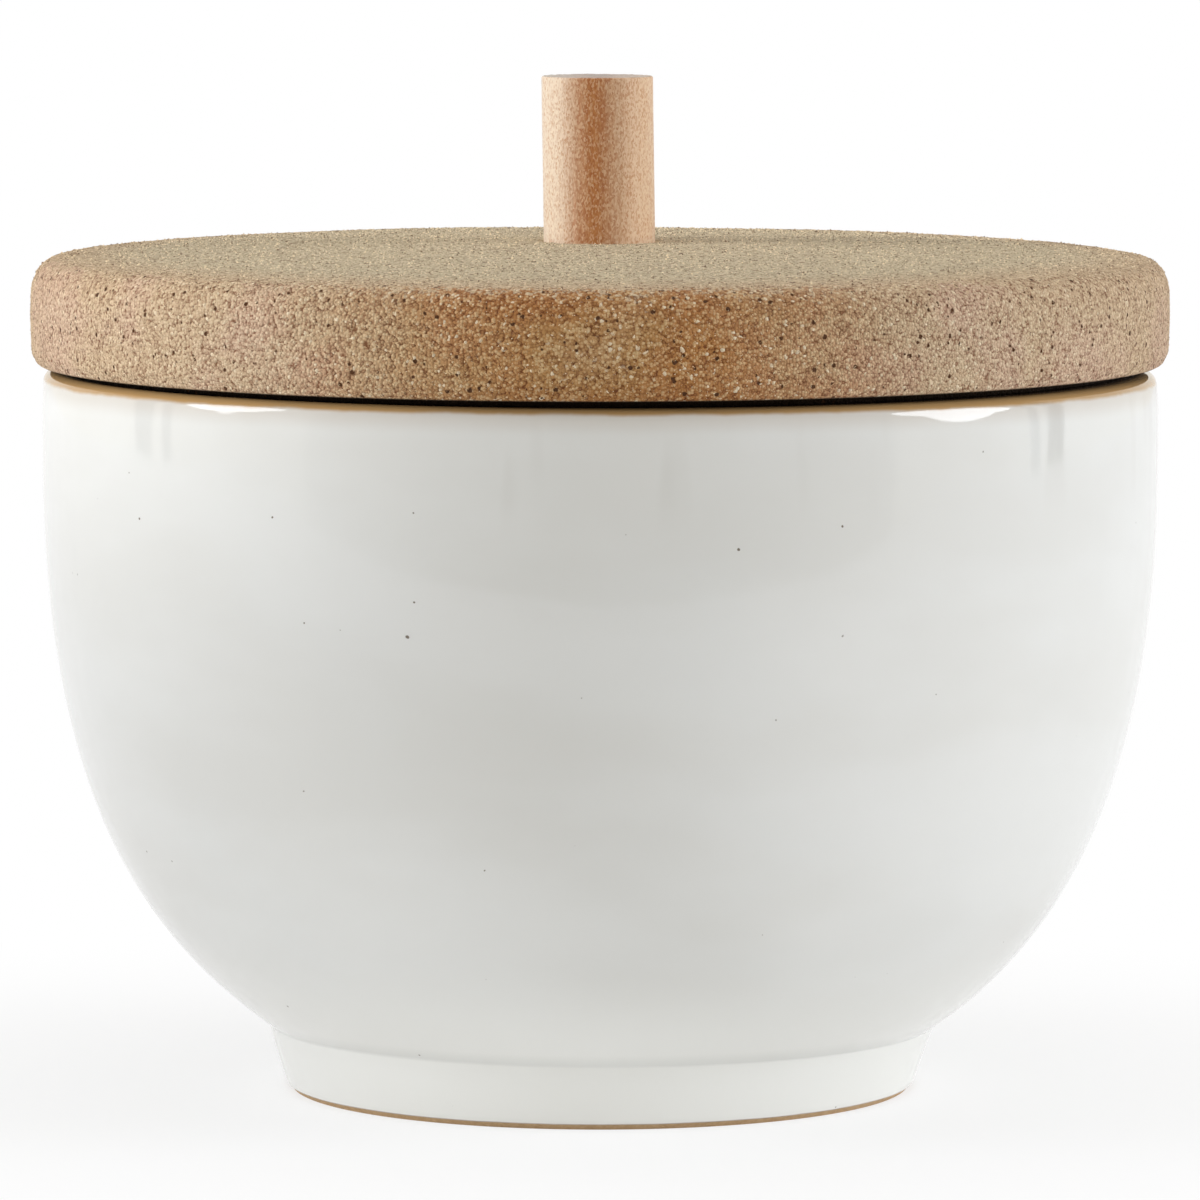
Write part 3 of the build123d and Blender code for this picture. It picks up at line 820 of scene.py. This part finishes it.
# %% Beech finish: fibres, flecks and the sawn end
fibre = add_node(tree, "TexNoise", {"Vector": upright, "Scale": per_mm(0.3), "Detail": 2.0})
short = add_node(tree, "Mapping", {"Vector": place, "Scale": (1, 1, 0.5)})
fleck = add_node(tree, "TexVoronoi", {"Vector": short, "Scale": per_mm(0.11)}, output="Color")
fleck = add_node(tree, "SeparateXYZ", {"Vector": fleck})
grain = add_node(tree, "Math", {0: fibre, 1: 0.5, 2: fleck}, operation="MULTIPLY_ADD")
brown = add_node(tree, "MapRange", {0: grain, 1: 0.25, 2: 0.80, 3: 0.7, 4: 0.0})
wood = add_node(tree, "Mix", {0: brown, 6: wood, 7: linear("#D8AC84")}, blend_type="MULTIPLY", **COLOUR)
cream = add_node(tree, "MapRange", {0: grain, 1: 0.80, 2: 1.25, 3: 0.0, 4: 0.3})
wood = add_node(tree, "Mix", {0: cream, 6: wood, 7: linear("#F8E2C4")}, **COLOUR)
end_grain = add_node(tree, "MapRange", {0: level, 1: knob_high.z - 0.12, 2: knob_high.z - 0.04, 4: 0.8})
colour = add_node(tree, "Mix", {0: end_grain, 6: wood, 7: linear("#948D86")}, **COLOUR)
satin = add_node(tree, "MapRange", {0: grain, 1: 0.3, 2: 1.1, 3: 0.55, 4: 0.38})
rough = add_node(tree, "Mix", {0: end_grain, 2: satin, 3: 1.0}, data_type="FLOAT")
close_finish(tree, colour, rough, grain, depth=0.02, IOR=1.5, **{"Sheen Weight": 0.2})
knob.data.materials.append(beech)

# %% [markdown]
# ## The screw and its washer
# These two show only when the lid is lifted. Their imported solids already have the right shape, with a
# thread, a cross recess and broken edges, so they stay and only get a finish. Bright zinc plate looks like
# half-glossy silver, faintly cloudy from the bath. Moulded silicone rubber looks milky, soft and nearly matt.

# %% Zinc and silicone finishes
zinc, tree, place, _ = new_finish("steel_bright_zinc_plated")
bath = add_node(tree, "TexNoise", {"Vector": place, "Scale": per_mm(1.2), "Detail": 3.0})
colour = add_node(tree, "Mix", {0: bath, 6: linear("#B9BCBD"), 7: linear("#D6D7D4")}, **COLOUR)
rough = add_node(tree, "MapRange", {0: bath, 1: 0.3, 2: 0.7, 3: 0.22, 4: 0.38})
close_finish(tree, colour, rough, bath, depth=0.01, Metallic=1.0)
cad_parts["knob_screw"].material_slots[0].material = zinc

silicone, tree, place, _ = new_finish("silicone_rubber_moulded_milky")
haze = add_node(tree, "TexNoise", {"Vector": place, "Scale": per_mm(2.0), "Detail": 2.0})
colour = add_node(tree, "Mix", {0: haze, 6: linear("#CFCFC8"), 7: linear("#E0E0DA")}, **COLOUR)
rough = add_node(tree, "MapRange", {0: haze, 1: 0.3, 2: 0.7, 3: 0.4, 4: 0.55})
close_finish(tree, colour, rough, haze, depth=0.02, IOR=1.41)
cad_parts["screw_washer"].material_slots[0].material = silicone

# %% [markdown]
# ## Table and background
# The box stands on a white table. To the camera, and to anything that mirrors it, the table adds light of
# its own, more of it further from the box, so that it reads as white paper and still keeps the soft
# shadow at the foot. It ends a little in front of the box, where the studio is darker: the bowl mirrors
# that, and its front looks greyer than its sides.

# %% The table
TABLE_SIDE = 0.75  # metres, as the next two
TABLE_FRONT = -0.27
TABLE_BACK = 7.0
corners = [(-TABLE_SIDE, TABLE_FRONT, 0), (TABLE_SIDE, TABLE_FRONT, 0)]
corners += [(TABLE_SIDE, TABLE_BACK, 0), (-TABLE_SIDE, TABLE_BACK, 0)]
table_mesh = bpy.data.meshes.new("table")
table_mesh.from_pydata(corners, [], [(0, 1, 2, 3)])
table = bpy.data.objects.new("table", table_mesh)
bpy.context.scene.collection.objects.link(table)
print("table of", 2 * TABLE_SIDE, "by", TABLE_BACK - TABLE_FRONT, "m")

# %% White paper on the table
RAYS = ("Is Camera Ray", "Is Glossy Ray", "Is Transmission Ray")
paper = bpy.data.materials.new("white_paper_on_table")
tree = empty_tree(paper)
camera_ray, glossy_ray, clear_ray = (add_node(tree, "LightPath", {}, output=ray) for ray in RAYS)
seen = add_node(tree, "Math", {0: camera_ray, 1: glossy_ray}, operation="MAXIMUM")
seen = add_node(tree, "Math", {0: seen, 1: clear_ray}, operation="MAXIMUM")
place = add_node(tree, "TexCoord", {}, output="Object")
away = add_node(tree, "VectorMath", {0: place}, output="Value", operation="LENGTH")
share = add_node(tree, "MapRange", {0: away, 1: 0.03, 2: 0.11, 3: 0.72, 4: 1.0}, **SMOOTH)
share = add_node(tree, "Math", {0: share, 1: seen}, operation="MULTIPLY")
matte = add_node(tree, "BsdfDiffuse", {"Color": linear("#F8F8F8")})
glow = add_node(tree, "Emission", {"Color": (1, 1, 1, 1), "Strength": 1.0})
mixed = add_node(tree, "MixShader", {0: share, 1: matte, 2: glow})
add_node(tree, "OutputMaterial", {"Surface": mixed})
table_mesh.materials.append(paper)
print("paper drawn with", len(tree.nodes), "nodes")

# %% [markdown]
# ## Light
# Two softboxes stand left and right of the box, about half a metre up, and a weak one hangs above. They
# light the rounding of the box and show as lens-shaped highlights on the lip. Two spots add what soft
# light can't: one from the left throws the knob's shadow across the lid, and a faint one from the front
# left lifts the foot. The glaze doesn't mirror the spots. The softboxes are a touch cool and the walls a
# touch warm, as lamps in a white room are. Each softbox has a stand and a spread in metres, and watts. Each
# spot has a stand and an aim in metres, a cone in degrees, a lens in metres, and watts.

# %% Softboxes
COOL_WHITE = (0.96, 0.99, 1.05)
BOX_MIDDLE = (0.0, 0.0, 0.05)
softboxes = {
    "softbox_left": ((-1.09, -0.15, 0.48), (0.5, 0.6), 4.7),
    "softbox_right": ((1.07, -0.22, 0.45), (0.6, 0.6), 6.3),
    "softbox_top": ((0.0, 0.20, 1.30), (1.0, 1.0), 1.8),
}


def hang(name, light, stand, aim):
    """Hangs a light at its stand and hands its holder back. It is tipped up from straight down by the angle
    between its fall and its reach towards the aim, and then turned about Z to face the aim."""
    holder = bpy.data.objects.new(name, light)
    holder.location = stand
    x, y, z = np.subtract(aim, stand)
    holder.rotation_euler = (np.arctan2(np.hypot(x, y), -z), 0.0, np.arctan2(y, x) - np.pi / 2)
    bpy.context.scene.collection.objects.link(holder)
    return holder


for name, (stand, spread, watts) in softboxes.items():
    lamp = bpy.data.lights.new(name, "AREA")
    lamp.shape = "ELLIPSE"
    lamp.size, lamp.size_y = spread
    lamp.energy = watts
    lamp.color = COOL_WHITE
    hang(name, lamp, stand, BOX_MIDDLE)
print("softboxes", sorted(softboxes))

# %% Spots
spots = {
    "spot_on_knob": ((-1.05, -0.47, 0.45), (0.0, 0.0, 0.083), 6.0, 0.012, 27.0),
    "spot_on_foot": ((-0.35, -0.88, 0.40), (-0.012, -0.033, -0.006), 4.2, 0.01, 3.4),
}
for name, (stand, aim, degrees, lens, watts) in spots.items():
    spot = bpy.data.lights.new(name, "SPOT")
    spot.energy = watts
    spot.spot_size = np.radians(degrees)
    spot.spot_blend = 1.0
    spot.shadow_soft_size = lens
    hang(name, spot, stand, aim).visible_glossy = False
print("spots", sorted(spots))

# %% [markdown]
# The world stands for the white walls of the studio. The camera sees it as plain white, the box is lit by
# it at less than half of that, and the glaze mirrors it with a darker zone towards the camera and two dark
# gaps between wall panels, which become the grey upright strips below the lip. One sky picture could hold
# all this, but Light Path lets the three uses differ, so the background stays white.

# %% World: what lights the box and what the glaze mirrors
FRONT_LIGHT = 0.46
BACK_LIGHT = 0.44
DARK_FRONT = 0.5
PANEL_GAPS = ((0.29, 0.05), (0.16, 0.02))  # middle and half width, in the Y of a direction
GAP_EDGE = 0.01
world = bpy.data.worlds.new("studio")
bpy.context.scene.world = world
tree = empty_tree(world)
direction = add_node(tree, "TexCoord", {}, output="Generated")
back = add_node(tree, "SeparateXYZ", {"Vector": direction}, output="Y")
walls = add_node(tree, "MapRange", {0: back, 1: -0.6, 2: 0.0, 3: FRONT_LIGHT, 4: BACK_LIGHT}, **SMOOTH)
mirrored = add_node(tree, "MapRange", {0: back, 1: -0.475, 2: -0.465, 3: DARK_FRONT, 4: 1.0})
for middle, half in PANEL_GAPS:
    off = add_node(tree, "Math", {0: back, 1: middle}, operation="SUBTRACT")
    off = add_node(tree, "Math", {0: off}, operation="ABSOLUTE")
    panel = add_node(tree, "MapRange", {0: off, 1: half, 2: half + GAP_EDGE, 3: 0.0, 4: 1.0})
    mirrored = add_node(tree, "Math", {0: mirrored, 1: panel}, operation="MULTIPLY")
print("walls light the box at", FRONT_LIGHT, "to", BACK_LIGHT)

# %% World: which ray sees what
camera_ray, glossy_ray, clear_ray = (add_node(tree, "LightPath", {}, output=ray) for ray in RAYS)
strength = add_node(tree, "Mix", {0: glossy_ray, 2: walls, 3: mirrored}, data_type="FLOAT")
plain = add_node(tree, "Math", {0: camera_ray, 1: clear_ray}, operation="MAXIMUM")
strength = add_node(tree, "Mix", {0: plain, 2: strength, 3: 1.0}, data_type="FLOAT")
tint = add_node(tree, "Mix", {0: plain, 6: linear("#FFFCF4"), 7: (1, 1, 1, 1)}, **COLOUR)
sky = add_node(tree, "Background", {"Color": tint, "Strength": strength})
add_node(tree, "OutputWorld", {"Surface": sky})
bpy.context.scene.view_settings.view_transform = "Standard"
print("world drawn with", len(tree.nodes), "nodes")
